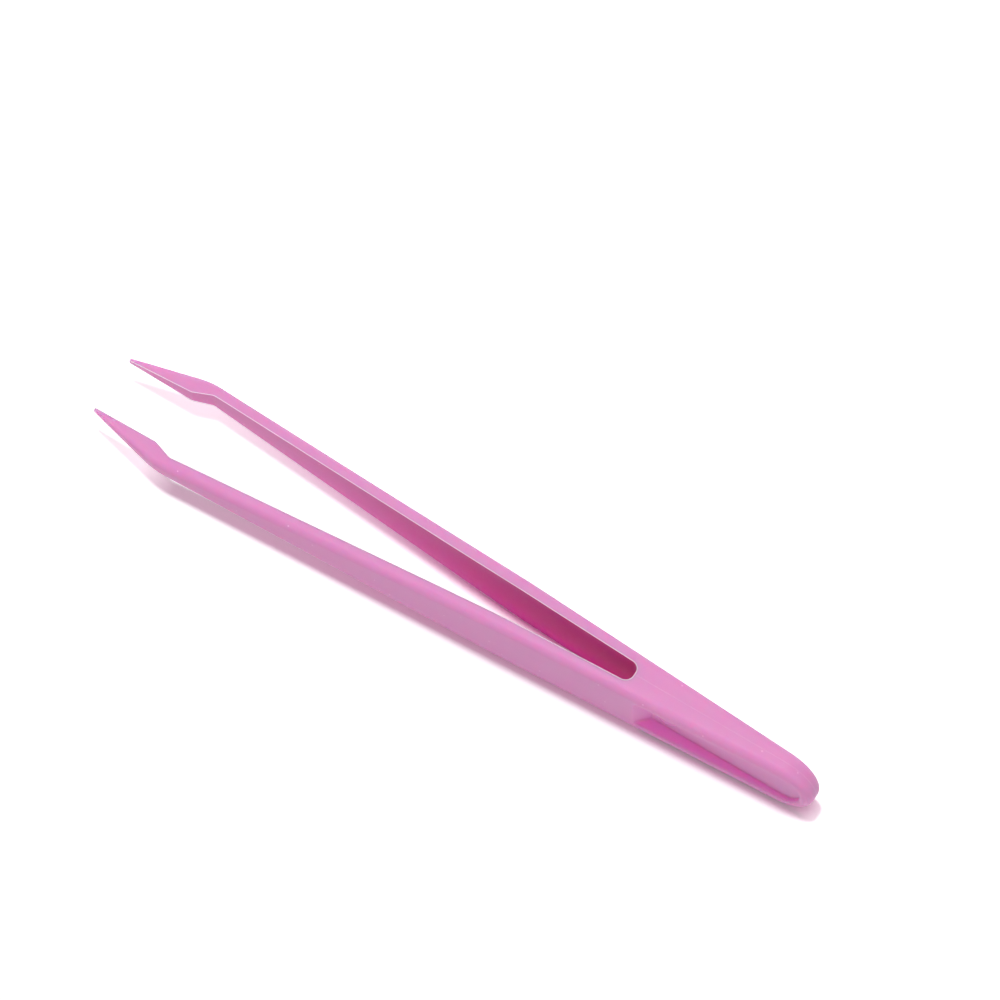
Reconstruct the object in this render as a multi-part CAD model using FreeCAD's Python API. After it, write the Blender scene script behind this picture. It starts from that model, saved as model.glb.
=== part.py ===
import FreeCAD
import Part
import math
import os

# Plastic tweezers, one moulded piece, modelled standing on a narrow edge.
# The outlines are drawn with x running from the round end of the handle to the tips,
# y across the opening and z across the width, both measured from the middle planes.
# Lengths are in millimetres and angles in degrees.

# Whole piece
length = 118.0
halfWidth = 5.45
draftAngle = 0.8

# Broad outline: half-widths on the parting plane, and how far each bend is rounded
# (a place named X is measured from the round end, and one named Back from the tips)
narrowingX = 28.0
narrowingRound = 1500.0
shoulderX = 50.5
shoulderHalfWidth = 5.32
shoulderRound = 30.0
neckBack = 15.8
neckHalfWidth = 2.03
neckRound = 40.0
tipHalfWidth = 0.4

# Side outline: how far the outer faces stand from the middle plane
endOuter = 1.67
bowX = 77.0
bowOuter = 5.97
bowRound = 3000.0
kneeBack = 12.1
kneeOuter = 7.71
kneeRound = 12.0
tipOuter = 4.83

# Opening: how far the inner faces stand from the middle plane
rootX = 30.1
rootInner = 1.55
rootRound = 1.35
thickX = 52.0
thickInner = 2.52
thickRound = 900.0
innerKneeBack = 13.6
innerKnee = 5.76
innerKneeRound = 1.5
heelBack = 10.55
heelInner = 4.62
heelRound = 1.5
tipInner = 4.4

# Soft outer edges: radius along the handle and the arms, and at the tips
edgeSoft = 1.25
tipSoft = 0.14

# Nose of each tip: where it starts, and the blunting of its very end
noseLength = 3.0
bluntLength = 0.15
bluntShare = 0.45

# Recess in both broad faces of the handle
recessFloor = 1.2
recessStart = 1.9
recessEnd = 26.4
recessHalfWidth = 3.24
recessCorner = 0.5
sideWallAngle = 2.0
endWallAngle = 44.0
floorRound = 0.2
rimRound = 0.45

# Round mark of an ejector pin, sunk in the floor of the front recess
pinDiameter = 4.2
pinX = 24.2
pinDepth = 0.08

# Places from the round end of what is measured from the tips
neckX = length - neckBack
kneeX = length - kneeBack
innerKneeX = length - innerKneeBack
heelX = length - heelBack
noseX = length - noseLength

# Room by which a cutting shape runs past what it cuts
clear = 1.0
# Distance under which two points are one
samePlace = 1e-6
# Share of a unit normal above which a face looks along an axis, and under which it looks across it
alongShare = 0.9
acrossShare = 0.3


# Straight line through two points, read at x
def lineAt(x, x1, y1, x2, y2):
    return y1 + (y2 - y1) * (x - x1) / (x2 - x1)


# Closed wire of straight lines in which each corner (a, b, radius) is rounded by an arc,
# a smaller one where the lines on its two sides are too short for it
def roundedWire(corners, place):
    points = [FreeCAD.Vector(a, b, 0) for a, b, radius in corners]
    sides = [point - points[i - 1] for i, point in enumerate(points)]
    ways = [FreeCAD.Vector(side).normalize() for side in sides]
    halfTurns = [way.getAngle(ways[(i + 1) % len(ways)]) / 2.0 for i, way in enumerate(ways)]
    reaches = [corner[2] * math.tan(halfTurn) for corner, halfTurn in zip(corners, halfTurns)]
    arcs = []
    for i, here in enumerate(points):
        following = (i + 1) % len(points)
        crowdedBefore = (reaches[i] + reaches[i - 1]) / sides[i].Length
        crowdedAfter = (reaches[i] + reaches[following]) / sides[following].Length
        reach = reaches[i] / max(crowdedBefore, crowdedAfter, 1.0)
        sag = reach * math.tan(halfTurns[i] / 2.0)
        inward = (ways[following] - ways[i]).normalize()
        arcs.append((here - ways[i] * reach, here + inward * sag, here + ways[following] * reach))
    edges = []
    for i, (start, middle, end) in enumerate(arcs):
        if start.distanceToPoint(end) > samePlace:
            edges.append(Part.Arc(place(start), place(middle), place(end)).toShape())
        following = arcs[(i + 1) % len(arcs)][0]
        if end.distanceToPoint(following) > samePlace:
            edges.append(Part.makeLine(place(end), place(following)))
    return Part.Wire(edges)


# Outline lying across the thickness, at the distance y from the middle plane
def planWire(half, y):
    corners = half + [(a, -b, radius) for a, b, radius in reversed(half)]
    return roundedWire(corners, lambda point: FreeCAD.Vector(point.x, y, point.y))


# Broad outline at the distance y from the middle plane, drawn in there by the draft
def broadWire(y):
    inset = y * math.tan(math.radians(draftAngle))
    half = [
        (inset, halfWidth - inset, halfWidth - inset),
        (narrowingX, halfWidth - inset, narrowingRound),
        (shoulderX, shoulderHalfWidth - inset, shoulderRound),
        (neckX, neckHalfWidth - inset, neckRound),
        (length, tipHalfWidth - inset, 0),
    ]
    return planWire(half, y)


# Recess outline at the distance y from the middle plane, wider further out
def recessWire(y):
    rise = y - recessFloor
    spread = rise * math.tan(math.radians(sideWallAngle))
    half = [
        (recessStart - spread, recessHalfWidth + spread, recessHalfWidth + spread),
        (recessEnd + rise * math.tan(math.radians(endWallAngle)), recessHalfWidth + spread, recessCorner),
    ]
    return planWire(half, y)


# Solid between two closed wires that have as many edges
def solidBetween(*wires):
    return Part.makeLoft(list(wires), True, True)


# Way in which a face looks, read at its middle
def facing(face):
    u1, u2, v1, v2 = face.ParameterRange
    return face.normalAt((u1 + u2) / 2.0, (v1 + v2) / 2.0)


# Numbers and edges where a face that passes one test meets a face that passes the other
def edgesBetween(shape, test, otherTest):
    found = []
    for number, edge in enumerate(shape.Edges, 1):
        pair = shape.ancestorsOfType(edge, Part.Face)
        if len(pair) == 2 and any(test(one) and otherTest(other) for one, other in (pair, pair[::-1])):
            found.append((number, edge))
    return found


# Whether an edge runs to the left or to the right, seen along y from the middle of the piece
def turn(edge):
    start = edge.valueAt(edge.FirstParameter)
    end = edge.valueAt(edge.LastParameter)
    return (start.x - length / 2.0) * end.z - (end.x - length / 2.0) * start.z > 0


# Shape with the numbered edges rounded, each to the radius that the law gives at its two ends
def softened(shape, numbered, law):
    document = FreeCAD.newDocument("work")
    hard = document.addObject("Part::Feature", "Hard")
    hard.Shape = shape
    soft = document.addObject("Part::Fillet", "Soft")
    soft.Base = hard
    radii = []
    for number, edge in numbered:
        first = law(edge.valueAt(edge.FirstParameter).x)
        last = law(edge.valueAt(edge.LastParameter).x)
        if turn(edge) != turn(numbered[0][1]):
            first, last = last, first
        radii.append((number, first, last))
    soft.Edges = radii
    document.recompute()
    result = soft.Shape.copy()
    FreeCAD.closeDocument(document.Name)
    return result


# Radius of the soft outer edge: the same as far as the neck, then less and less towards the tips
def outerSoft(x):
    if x < neckX:
        return edgeSoft
    return lineAt(x, neckX, edgeSoft, length, tipSoft)


# One half, from the middle plane to its outer face, cut off where the nose of its tip starts
noseOuter = lineAt(noseX, kneeX, kneeOuter, length, tipOuter)
noseInner = lineAt(noseX, heelX, heelInner, length, tipInner)
sideCorners = [
    (-clear, 0, 0),
    (-clear, lineAt(-clear, 0, endOuter, bowX, bowOuter), 0),
    (bowX, bowOuter, bowRound),
    (kneeX, kneeOuter, kneeRound),
    (noseX, noseOuter, 0),
    (noseX, noseInner, 0),
    (heelX, heelInner, heelRound),
    (innerKneeX, innerKnee, innerKneeRound),
    (thickX, thickInner, thickRound),
    (rootX, rootInner, rootRound),
    (rootX, 0, 0),
]
zBelow = -halfWidth - clear
sideWire = roundedWire(sideCorners, lambda point: FreeCAD.Vector(point.x, point.y, zBelow))
sideSolid = Part.Face(sideWire).extrude(FreeCAD.Vector(0, 0, -2 * zBelow))
half = sideSolid.common(solidBetween(broadWire(0), broadWire(kneeOuter + clear))).Solids[0]


# Faces that look out across the thickness, and faces on the narrow sides
def looksOut(face):
    return facing(face).y > alongShare


def looksSideways(face):
    return abs(facing(face).y) < acrossShare and face.BoundBox.XMin < noseX - samePlace


half = softened(half, edgesBetween(half, looksOut, looksSideways), outerSoft)

# Nose of the tip: its root section drawn in to a blunt end
noseRoot = [face for face in half.Faces if face.BoundBox.XMin > noseX - samePlace][0].OuterWire


# Root section of the nose moved to x and drawn in about the middle of the tip
def noseSection(x, thickShare, wideShare, centre):
    matrix = FreeCAD.Matrix()
    matrix.move(FreeCAD.Vector(-noseX, -(noseOuter + noseInner) / 2.0, 0))
    matrix.scale(FreeCAD.Vector(1, thickShare, wideShare))
    matrix.move(FreeCAD.Vector(x, centre, 0))
    return noseRoot.transformGeometry(matrix)


bluntX = length - bluntLength
tipCentre = (tipOuter + tipInner) / 2.0
tipThickShare = (tipOuter - tipInner) / (noseOuter - noseInner)
tipWideShare = tipHalfWidth / lineAt(noseX, neckX, neckHalfWidth, length, tipHalfWidth)
nose = solidBetween(
    noseRoot,
    noseSection(bluntX, tipThickShare, tipWideShare, tipCentre),
    noseSection(length, tipThickShare * bluntShare, tipWideShare * bluntShare, tipCentre),
)
half = half.fuse(nose)

# Recess, with a soft rim and a small round along its floor
recess = solidBetween(recessWire(recessFloor), recessWire(kneeOuter))
floorEdges = edgesBetween(
    recess, lambda face: facing(face).y < -alongShare, lambda face: facing(face).y > -alongShare
)
recess = softened(recess, floorEdges, lambda x: floorRound)
half = half.cut(recess)


# The outer face lies above the floor of the recess, and the walls look back at its middle
def isOuterFace(face):
    return looksOut(face) and face.CenterOfMass.y > recessFloor + floorRound


def isRecessWall(face):
    inward = FreeCAD.Vector((recessStart + recessEnd) / 2.0, 0, 0) - face.CenterOfMass
    inward.y = 0
    return not looksOut(face) and inward.dot(facing(face)) > 0


half = softened(half, edgesBetween(half, isOuterFace, isRecessWall), lambda x: rimRound)

# Front half with the pin mark, rear half as its mirror image without it
pinFoot = FreeCAD.Vector(pinX, recessFloor - pinDepth, 0)
pinMark = Part.makeCylinder(pinDiameter / 2.0, pinDepth + clear, pinFoot, FreeCAD.Vector(0, 1, 0))
front = half.cut(pinMark)
rear = half.mirror(FreeCAD.Vector(0, 0, 0), FreeCAD.Vector(0, 1, 0))
tweezers = front.fuse(rear).removeSplitter().Solids[0]

# Own frame: middle of the footprint at the origin, front half towards -y, lowest edge at z = 0
tweezers.rotate(FreeCAD.Vector(0, 0, 0), FreeCAD.Vector(0, 0, 1), 180)
tweezers.translate(FreeCAD.Vector(length / 2.0, 0, halfWidth))

os.makedirs("parts", exist_ok=True)
tweezers.exportStep("parts/tweezers.step")
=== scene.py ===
import math

import bmesh
import bpy
from mathutils import Matrix, Vector


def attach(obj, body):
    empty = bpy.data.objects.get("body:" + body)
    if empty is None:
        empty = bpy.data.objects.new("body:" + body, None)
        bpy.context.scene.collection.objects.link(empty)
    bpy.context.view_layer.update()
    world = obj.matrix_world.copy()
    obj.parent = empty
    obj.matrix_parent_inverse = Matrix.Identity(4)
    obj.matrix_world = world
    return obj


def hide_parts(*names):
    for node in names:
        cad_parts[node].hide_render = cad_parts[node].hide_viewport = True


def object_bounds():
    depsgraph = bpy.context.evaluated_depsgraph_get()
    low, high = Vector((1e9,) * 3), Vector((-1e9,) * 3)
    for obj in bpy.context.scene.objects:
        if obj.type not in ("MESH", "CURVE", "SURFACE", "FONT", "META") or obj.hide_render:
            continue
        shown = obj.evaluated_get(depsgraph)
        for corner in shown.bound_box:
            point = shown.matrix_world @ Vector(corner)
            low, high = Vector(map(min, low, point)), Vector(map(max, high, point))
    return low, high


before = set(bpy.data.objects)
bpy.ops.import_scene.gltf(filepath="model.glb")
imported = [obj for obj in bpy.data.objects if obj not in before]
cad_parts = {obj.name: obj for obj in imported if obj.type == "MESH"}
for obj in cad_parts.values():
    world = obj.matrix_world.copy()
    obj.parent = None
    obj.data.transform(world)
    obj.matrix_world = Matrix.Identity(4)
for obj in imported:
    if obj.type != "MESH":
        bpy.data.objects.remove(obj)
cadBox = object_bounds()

scene = bpy.context.scene
mm = 0.001
white = (1.0, 1.0, 1.0)
print("frame loaded")


# small helpers for node trees: an input given as a socket is linked, and any other value is set
def addNode(tree, kind, inputs=None, **values):
    node = tree.nodes.new(kind)
    for name, value in values.items():
        setattr(node, name, value)
    fill(tree, node, inputs or {})
    return node


def fill(tree, node, inputs):
    for name, value in inputs.items():
        socket = node.inputs[name]
        if isinstance(value, bpy.types.NodeSocket):
            tree.links.new(value, socket)
        elif socket.type == "RGBA":
            socket.default_value = (*value, 1.0)
        else:
            socket.default_value = value


def addMath(tree, operation, *terms):
    return addNode(tree, "ShaderNodeMath", dict(enumerate(terms)), operation=operation).outputs[0]


def addRange(tree, value, start, end, low=0.0, high=1.0):  # low at start, high at end, even between
    inputs = {"Value": value, "From Min": start, "From Max": end, "To Min": low, "To Max": high}
    return addNode(tree, "ShaderNodeMapRange", inputs).outputs[0]


def mixColours(tree, share, first, second):
    inputs = {"Factor": share, "A": first, "B": second}
    return addNode(tree, "ShaderNodeMix", inputs, data_type="RGBA").outputs["Result"]


def seenRays(tree):  # 1 for the rays that show the background: straight, mirrored or through glass
    path = addNode(tree, "ShaderNodeLightPath")
    mirrored = addMath(tree, "MAXIMUM", path.outputs["Is Camera Ray"], path.outputs["Is Glossy Ray"])
    return addMath(tree, "MAXIMUM", mirrored, path.outputs["Is Transmission Ray"])


def newMaterial(name):
    material = bpy.data.materials.new(name)
    material.use_nodes = True
    return material


def newObject(name, data):
    made = bpy.data.objects.new(name, data)
    scene.collection.objects.link(made)
    return made


def plainMesh(draft, name):  # the finished shape of a draft as one plain mesh object at the origin
    bpy.context.view_layer.update()
    graph = bpy.context.evaluated_depsgraph_get()
    finished = draft.evaluated_get(graph)
    mesh = bpy.data.meshes.new_from_object(finished, preserve_all_data_layers=True, depsgraph=graph)
    mesh.name = name
    bpy.data.objects.remove(draft)
    return newObject(name, mesh)


# what changes over the plastic: grain of the mould as a height, slow flow of the pigment, a few dust specks
mouldGrain = {
    "grainDetail": 3.0,
    "grainRoughness": 0.55,
    "flowDetail": 2.0,
    "flowStretch": 0.35,  # the melt flows along the piece, so its pattern is drawn out in x
    "specksPerMetre": 420.0,
    "speckFull": 0.035,  # distance from a speck's middle, as a share of their spacing, where it is full
    "speckGone": 0.06,  # and where it is gone
}


def buildMouldGrain(settings):
    group = bpy.data.node_groups.new("mouldGrain", "ShaderNodeTree")
    for name in ("Grain Size", "Flow Size"):
        group.interface.new_socket(name, in_out="INPUT", socket_type="NodeSocketFloat")
    for name in ("Height", "Flow", "Speck"):
        group.interface.new_socket(name, in_out="OUTPUT", socket_type="NodeSocketFloat")
    sizes = addNode(group, "NodeGroupInput").outputs
    place = addNode(group, "ShaderNodeTexCoord").outputs["Object"]
    grain = addNode(group, "ShaderNodeTexNoise", {
        "Vector": place,
        "Scale": addMath(group, "DIVIDE", 1.0, sizes["Grain Size"]),
        "Detail": settings["grainDetail"],
        "Roughness": settings["grainRoughness"],
    })
    stretched = addNode(group, "ShaderNodeMapping", {
        "Vector": place,
        "Scale": (settings["flowStretch"], 1.0, 1.0),
    })
    flow = addNode(group, "ShaderNodeTexNoise", {
        "Vector": stretched.outputs[0],
        "Scale": addMath(group, "DIVIDE", 1.0, sizes["Flow Size"]),
        "Detail": settings["flowDetail"],
    })
    dots = addNode(group, "ShaderNodeTexVoronoi", {"Vector": place, "Scale": settings["specksPerMetre"]})
    fromDot = dots.outputs["Distance"]
    addNode(group, "NodeGroupOutput", {
        "Height": grain.outputs["Fac"],
        "Flow": flow.outputs["Fac"],
        "Speck": addRange(group, fromDot, settings["speckFull"], settings["speckGone"], 1.0, 0.0),
    })
    return group


# the plastic, with painted shade inside the opening and painted glow in the recesses, and the paler finish
# with a painted highlight for the thin flash and ridge that the mould leaves on it
pinkPlastic = {
    "colour": (0.75, 0.318, 0.595),  # pigment, as a linear colour
    "deepColour": (0.735, 0.302, 0.577),  # where the melt carried a little more pigment
    "speckColour": (0.92, 0.55, 0.78),
    "slotPaintedShade": (0.78, 0.012, 0.43),  # painted shade: deeper and darker inside the opening, where light meets the pigment several times
    "webPaintedGlow": (0.95, 0.39, 0.80),  # painted glow: lighter in the recesses, where light comes through the thin web
    "webStart": 30 * mm,  # the handle, where painted glow takes the place of painted shade, lies past this x
    "paintedLightReach": 15 * mm,  # how far round a place its walls count
    "paintedLightFull": 0.36,  # openness at which the painted shade and glow are full
    "paintedLightGone": 0.92,  # and at which it is gone
    "paintedLightSamples": 8,
    "grainSize": 0.22 * mm,
    "grainDepth": 0.006 * mm,
    "flowSize": 14 * mm,
    "roughnessLow": 0.40,
    "roughnessHigh": 0.50,
    "ior": 1.49,
    "gloss": 0.15,  # weak, as on a sparked mould face
    "scatter": 1.0,
    "scatterRadius": (2.0 * mm, 0.7 * mm, 1.2 * mm),
    "shadowTint": (0.40, 0.10, 0.28),  # light that each wall lets through into the shadow
}

paintedFlashHighlight = {
    "colour": (1.0, 0.78, 0.92),  # paler than the bulk: a painted highlight on the real thin flash and ridge
    "roughness": 0.3,
    "ior": 1.49,
    "gloss": 0.5,
    "scatter": 0.5,
    "scatterRadius": (0.3 * mm, 0.2 * mm, 0.25 * mm),
}


def plasticShader(material, look):  # with what both finishes of the plastic have on their own sockets
    tree = material.node_tree
    shader = tree.nodes["Principled BSDF"]
    fill(tree, shader, {
        "IOR": look["ior"],
        "Specular IOR Level": look["gloss"],
        "Subsurface Weight": look["scatter"],
        "Subsurface Radius": [radius / mm for radius in look["scatterRadius"]],
        "Subsurface Scale": mm,
    })
    return tree, shader


def buildPinkPlastic(look, grainGroup):
    material = newMaterial("pinkSatinPlastic")
    tree, shader = plasticShader(material, look)
    sizes = {"Grain Size": look["grainSize"], "Flow Size": look["flowSize"]}
    grain = addNode(tree, "ShaderNodeGroup", sizes, node_tree=grainGroup)
    height, flow, speck = (grain.outputs[name] for name in ("Height", "Flow", "Speck"))

    pigment = mixColours(tree, flow, look["deepColour"], look["colour"])
    specked = mixColours(tree, speck, pigment, look["speckColour"])
    place = addNode(tree, "ShaderNodeTexCoord").outputs["Object"]
    axes = addNode(tree, "ShaderNodeSeparateXYZ", {0: place}).outputs
    # painted shade inside the opening and painted glow in the handle's recesses, strongest where walls
    # close round a place
    handle = addMath(tree, "GREATER_THAN", axes["X"], look["webStart"])
    paintedShadeAndGlow = mixColours(tree, handle, look["slotPaintedShade"], look["webPaintedGlow"])
    reach = {"Distance": look["paintedLightReach"]}
    samples = look["paintedLightSamples"]
    walls = addNode(tree, "ShaderNodeAmbientOcclusion", reach, samples=samples, only_local=True)
    openness = addRange(tree, walls.outputs["AO"], look["paintedLightFull"], look["paintedLightGone"])
    bump = addNode(tree, "ShaderNodeBump", {
        "Strength": 1.0,
        "Distance": look["grainDepth"],
        "Height": height,
    })
    fill(tree, shader, {
        "Base Color": mixColours(tree, openness, paintedShadeAndGlow, specked),
        "Roughness": addRange(tree, flow, 0.0, 1.0, look["roughnessLow"], look["roughnessHigh"]),
        "Normal": bump.outputs["Normal"],
    })

    shadow = addNode(tree, "ShaderNodeLightPath").outputs["Is Shadow Ray"]
    through = addNode(tree, "ShaderNodeBsdfTransparent", {"Color": look["shadowTint"]})
    lit = addNode(tree, "ShaderNodeMixShader", {0: shadow, 1: shader.outputs[0], 2: through.outputs[0]})
    fill(tree, tree.nodes["Material Output"], {"Surface": lit.outputs[0]})
    return material


def buildFlashHighlight(look):
    material = newMaterial("flashWithPaintedHighlight")
    tree, shader = plasticShader(material, look)
    # painted highlight: the flash and ridge get a colour paler than the bulk
    fill(tree, shader, {"Base Color": look["colour"], "Roughness": look["roughness"]})
    return material


plasticMaterial = buildPinkPlastic(pinkPlastic, buildMouldGrain(mouldGrain))
flashHighlightMaterial = buildFlashHighlight(paintedFlashHighlight)
print("plastic ready")


# the moulding itself: a welded copy of the frame's solid with smooth bends and crisp edges
moulding = {
    "weld": 0.0004 * mm,
    "crispAngle": 32,  # degrees; edges steeper than this stay crisp
}


def buildMoulding(settings):
    shape = bmesh.new()
    shape.from_mesh(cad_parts["tweezers"].data)
    bmesh.ops.remove_doubles(shape, verts=shape.verts, dist=settings["weld"])
    mesh = bpy.data.meshes.new("mouldingDraft")
    shape.to_mesh(mesh)
    shape.free()
    for name in [layer.name for layer in mesh.attributes]:  # the welded copy gets its own normals
        if name == "custom_normal" or name.startswith("UV"):
            mesh.attributes.remove(mesh.attributes[name])
    mesh.materials.clear()
    mesh.materials.append(plasticMaterial)
    mesh.shade_smooth()
    mesh.set_sharp_from_angle(angle=math.radians(settings["crispAngle"]))
    draft = newObject("mouldingDraft", mesh)
    even = draft.modifiers.new("even", "WEIGHTED_NORMAL")
    even.keep_sharp = True
    return plainMesh(draft, "moulding")


mouldingPiece = buildMoulding(moulding)
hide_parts("tweezers")
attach(mouldingPiece, "root")
print("moulding:", len(mouldingPiece.data.vertices), "corners")


# thin lines that the mould leaves: flash along the crisp edges of the opening, a ridge on the parting
# plane, both in the paler finish that paints a highlight on them
mouldLines = {
    "flashWidth": 0.125 * mm,
    "ridgeWidth": 0.016 * mm,
    "crispAngle": 60,  # degrees; the edges of the opening are steeper than this
    "openingStart": 28.95 * mm,  # the opening lies on the near side of this x
    "planeHalf": 0.001 * mm,  # an edge this near to y = 0 lies on the parting plane
    "sides": 6,
    "leastWidth": 0.75,  # share of the width that is always there
    "uneven": 0.45,  # share that comes and goes
    "unevenSize": 3.5 * mm,
    "seed": 7,
}


def buildMouldLines(settings, source):
    values = {
        "Flash Width": settings["flashWidth"],
        "Ridge Width": settings["ridgeWidth"],
        "Crisp Angle": math.radians(settings["crispAngle"]),
        "Opening Start": settings["openingStart"],
        "Plane Half": settings["planeHalf"],
        "Least Width": settings["leastWidth"],
        "Uneven": settings["uneven"],
        "Uneven Size": settings["unevenSize"],
        "Sides": settings["sides"],
        "Seed": float(settings["seed"]),
        "Material": flashHighlightMaterial,
    }
    kinds = {float: "NodeSocketFloat", int: "NodeSocketInt", bpy.types.Material: "NodeSocketMaterial"}
    tree = bpy.data.node_groups.new("mouldLines", "GeometryNodeTree")
    tree.interface.new_socket("Geometry", in_out="INPUT", socket_type="NodeSocketGeometry")
    identifiers = {}
    for name, value in values.items():
        item = tree.interface.new_socket(name, in_out="INPUT", socket_type=kinds[type(value)])
        identifiers[name] = item.identifier
    tree.interface.new_socket("Geometry", in_out="OUTPUT", socket_type="NodeSocketGeometry")
    given = addNode(tree, "NodeGroupInput").outputs

    def compare(operation, value, limit):
        pair = {"A": value, "B": limit}
        node = addNode(tree, "FunctionNodeCompare", pair, data_type="FLOAT", operation=operation)
        return node.outputs["Result"]

    def both(one, other):
        return addNode(tree, "FunctionNodeBooleanMath", {0: one, 1: other}, operation="AND").outputs[0]

    def axisValue(vector, axis):
        return addNode(tree, "ShaderNodeSeparateXYZ", {0: vector}).outputs[axis]

    def onPlane(end):
        return compare("LESS_THAN", addMath(tree, "ABSOLUTE", axisValue(end, "Y")), given["Plane Half"])

    def tube(selection, width):
        path = addNode(tree, "GeometryNodeMeshToCurve", {"Mesh": given["Geometry"], "Selection": selection})
        pattern = {
            "Vector": addNode(tree, "GeometryNodeInputPosition").outputs[0],
            "Scale": addMath(tree, "DIVIDE", 1.0, given["Uneven Size"]),
            "W": given["Seed"],
        }
        noise = addNode(tree, "ShaderNodeTexNoise", pattern, noise_dimensions="4D")
        spread = addMath(tree, "MULTIPLY_ADD", noise.outputs["Fac"], given["Uneven"], given["Least Width"])
        outline = {"Resolution": given["Sides"], "Radius": 0.5}  # one across, and then scaled to the width
        ring = addNode(tree, "GeometryNodeCurvePrimitiveCircle", outline)
        return addNode(tree, "GeometryNodeCurveToMesh", {
            "Curve": path.outputs[0],
            "Profile Curve": ring.outputs["Curve"],
            "Scale": addMath(tree, "MULTIPLY", spread, width),
            "Fill Caps": True,
        }).outputs[0]

    ends = addNode(tree, "GeometryNodeInputMeshEdgeVertices").outputs
    bend = addNode(tree, "GeometryNodeInputMeshEdgeAngle").outputs["Unsigned Angle"]
    steep = compare("GREATER_THAN", bend, given["Crisp Angle"])
    inOpening = compare("LESS_THAN", axisValue(ends["Position 1"], "X"), given["Opening Start"])
    parting = both(onPlane(ends["Position 1"]), onPlane(ends["Position 2"]))
    join = addNode(tree, "GeometryNodeJoinGeometry")
    fill(tree, join, {0: tube(both(steep, inOpening), given["Flash Width"])})
    fill(tree, join, {0: tube(parting, given["Ridge Width"])})
    real = addNode(tree, "GeometryNodeRealizeInstances", {0: join.outputs[0]})
    painted = {"Geometry": real.outputs[0], "Material": given["Material"]}
    paint = addNode(tree, "GeometryNodeSetMaterial", painted)
    addNode(tree, "NodeGroupOutput", {"Geometry": paint.outputs[0]})

    draft = newObject("mouldLinesDraft", source.data.copy())
    lines = draft.modifiers.new("lines", "NODES")
    lines.node_group = tree
    for name, value in values.items():
        lines[identifiers[name]] = value
    return plainMesh(draft, "mouldLines")


linesPiece = buildMouldLines(mouldLines, mouldingPiece)
lowest, highest = cadBox
for vertex in linesPiece.data.vertices:  # the lines stay within the moulding's own box
    vertex.co = [min(max(c, low), high) for c, low, high in zip(vertex.co, lowest, highest)]
linesPiece.data.shade_smooth()
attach(linesPiece, "root")
print("mould lines:", len(linesPiece.data.vertices), "corners")


# pale floor: matt, with a little own light that brings it to white, a painted shadow with a pink cast right
# beside the plastic where that own light fades, and painted light in set places that thins the cast shadow
floorLook = {
    "size": 6.0,
    "colour": (0.97, 0.97, 0.97),
    "ownLight": 0.08,
    "nearLight": 0.0,  # own light right beside the plastic, below the rest: painted shadow there
    "paintedShadowTint": (1.0, 0.4, 0.7),  # painted pink cast in that shadow
    "nearReach": 4 * mm,
    "nearFull": 0.5,  # openness at which the floor counts as right beside the plastic
    "nearGone": 0.9,  # and at which it counts as clear of it
    "nearSamples": 12,
    "lift": 0.45,  # more own light where the photograph's shadow is faint
    "liftPlaces": {  # axis, where it starts and where it is full
        "betweenArms": ("Y", -4 * mm, 1 * mm),
        "pastHandle": ("X", 54 * mm, 59 * mm),
        "atTips": ("X", -44 * mm, -50 * mm),
    },
}


def buildFloor(look):
    mesh = bpy.data.meshes.new("floor")
    half = look["size"] / 2
    corners = [(-half, -half, 0), (half, -half, 0), (half, half, 0), (-half, half, 0)]
    mesh.from_pydata(corners, [], [(0, 1, 2, 3)])
    material = newMaterial("paleFloor")
    mesh.materials.append(material)
    tree = material.node_tree
    tree.nodes.clear()

    place = addNode(tree, "ShaderNodeTexCoord").outputs["Object"]
    axes = addNode(tree, "ShaderNodeSeparateXYZ", {0: place}).outputs
    lifts = [addRange(tree, axes[axis], start, full) for axis, start, full in look["liftPlaces"].values()]
    widest = lifts[0]
    for lift in lifts[1:]:
        widest = addMath(tree, "MAXIMUM", widest, lift)
    clearLight = addMath(tree, "MULTIPLY_ADD", widest, look["lift"], look["ownLight"])

    # painted shadow with a pink cast: right beside the plastic the own light fades to nearLight
    reach = {"Distance": look["nearReach"]}
    beside = addNode(tree, "ShaderNodeAmbientOcclusion", reach, samples=look["nearSamples"])
    span = (beside.outputs["AO"], look["nearFull"], look["nearGone"])
    ownLight = addRange(tree, *span, look["nearLight"], clearLight)
    glow = addNode(tree, "ShaderNodeEmission", {
        "Color": mixColours(tree, addRange(tree, *span), look["paintedShadowTint"], white),
        "Strength": addMath(tree, "MULTIPLY", seenRays(tree), ownLight),
    })
    matt = addNode(tree, "ShaderNodeBsdfDiffuse", {"Color": look["colour"]})
    surface = addNode(tree, "ShaderNodeAddShader", {0: matt.outputs[0], 1: glow.outputs[0]})
    addNode(tree, "ShaderNodeOutputMaterial", {"Surface": surface.outputs[0]})
    return newObject("floor", mesh)


floorPiece = buildFloor(floorLook)
print("floor ready")


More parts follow.
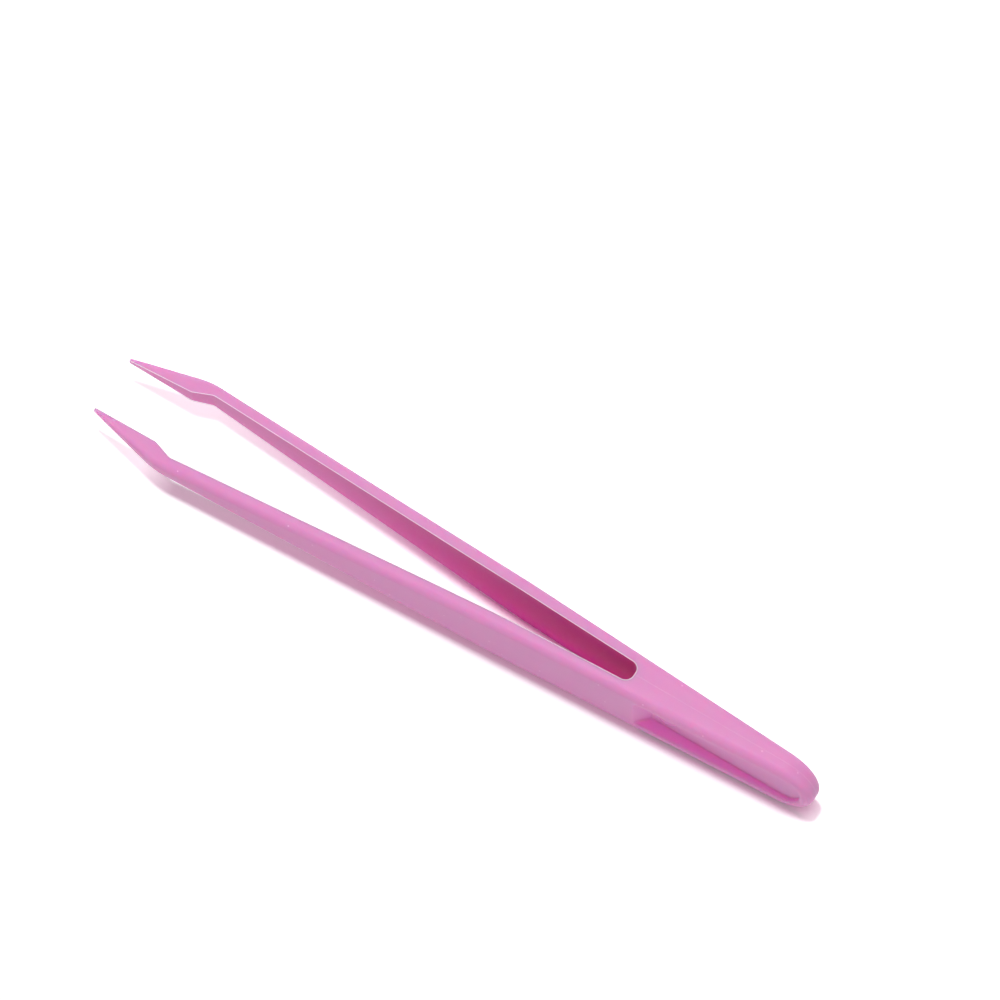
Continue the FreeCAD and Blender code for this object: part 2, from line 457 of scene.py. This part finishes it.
# soft studio light: an even white room, a lamp almost overhead and a weak one from beside the handle
studio = {
    "roomStrength": 0.25,
    "distance": 1.5,
    "lamps": {  # azimuth round the part (0 looks along +Y), elevation, size, power
        "keyLamp": (238, 81, 0.2, 16.3),
        "fillLamp": (50, 30, 0.7, 2.6),
    },
}


def around(azimuth, elevation, distance):
    a, e = math.radians(azimuth), math.radians(elevation)
    return Vector((math.sin(a) * math.cos(e), -math.cos(a) * math.cos(e), math.sin(e))) * distance


def aimed(place, target, roll=0.0):
    turn = (target - place).to_track_quat("-Z", "Y").to_matrix().to_4x4()
    return Matrix.Translation(place) @ turn @ Matrix.Rotation(math.radians(roll), 4, "Z")


def buildStudio(look):
    world = scene.world or bpy.data.worlds.new("room")
    scene.world = world
    world.use_nodes = True
    tree = world.node_tree
    tree.nodes.clear()
    room = addNode(tree, "ShaderNodeBackground", {"Color": white, "Strength": look["roomStrength"]})
    plain = addNode(tree, "ShaderNodeBackground", {"Color": white, "Strength": 1.0})
    shown = {0: seenRays(tree), 1: room.outputs[0], 2: plain.outputs[0]}
    mix = addNode(tree, "ShaderNodeMixShader", shown)
    addNode(tree, "ShaderNodeOutputWorld", {"Surface": mix.outputs[0]})

    for name, (azimuth, elevation, size, power) in look["lamps"].items():
        data = bpy.data.lights.new(name, "AREA")
        data.shape = "DISK"
        data.size = size
        data.energy = power
        lamp = newObject(name, data)
        lamp.matrix_world = aimed(around(azimuth, elevation, look["distance"]), Vector((0, 0, 0)))


buildStudio(studio)
print("light ready")


# camera at the photograph's viewing angle
viewpoint = {
    "target": (-2.637 * mm, 14.478 * mm, 5.45 * mm),
    "azimuth": 32.201,
    "elevation": 66.233,
    "roll": 0.163,
    "distance": 1.38458,
    "lens": 351.048,
    "sensor": 36.0,
}


def buildCamera(look):
    data = bpy.data.cameras.new("camera")
    data.sensor_width = look["sensor"]
    data.lens = look["lens"]
    camera = newObject("camera", data)
    target = Vector(look["target"])
    place = target + around(look["azimuth"], look["elevation"], look["distance"])
    camera.matrix_world = aimed(place, target, look["roll"])
    scene.camera = camera


buildCamera(viewpoint)
scene.view_settings.view_transform = "Standard"
print("camera ready")
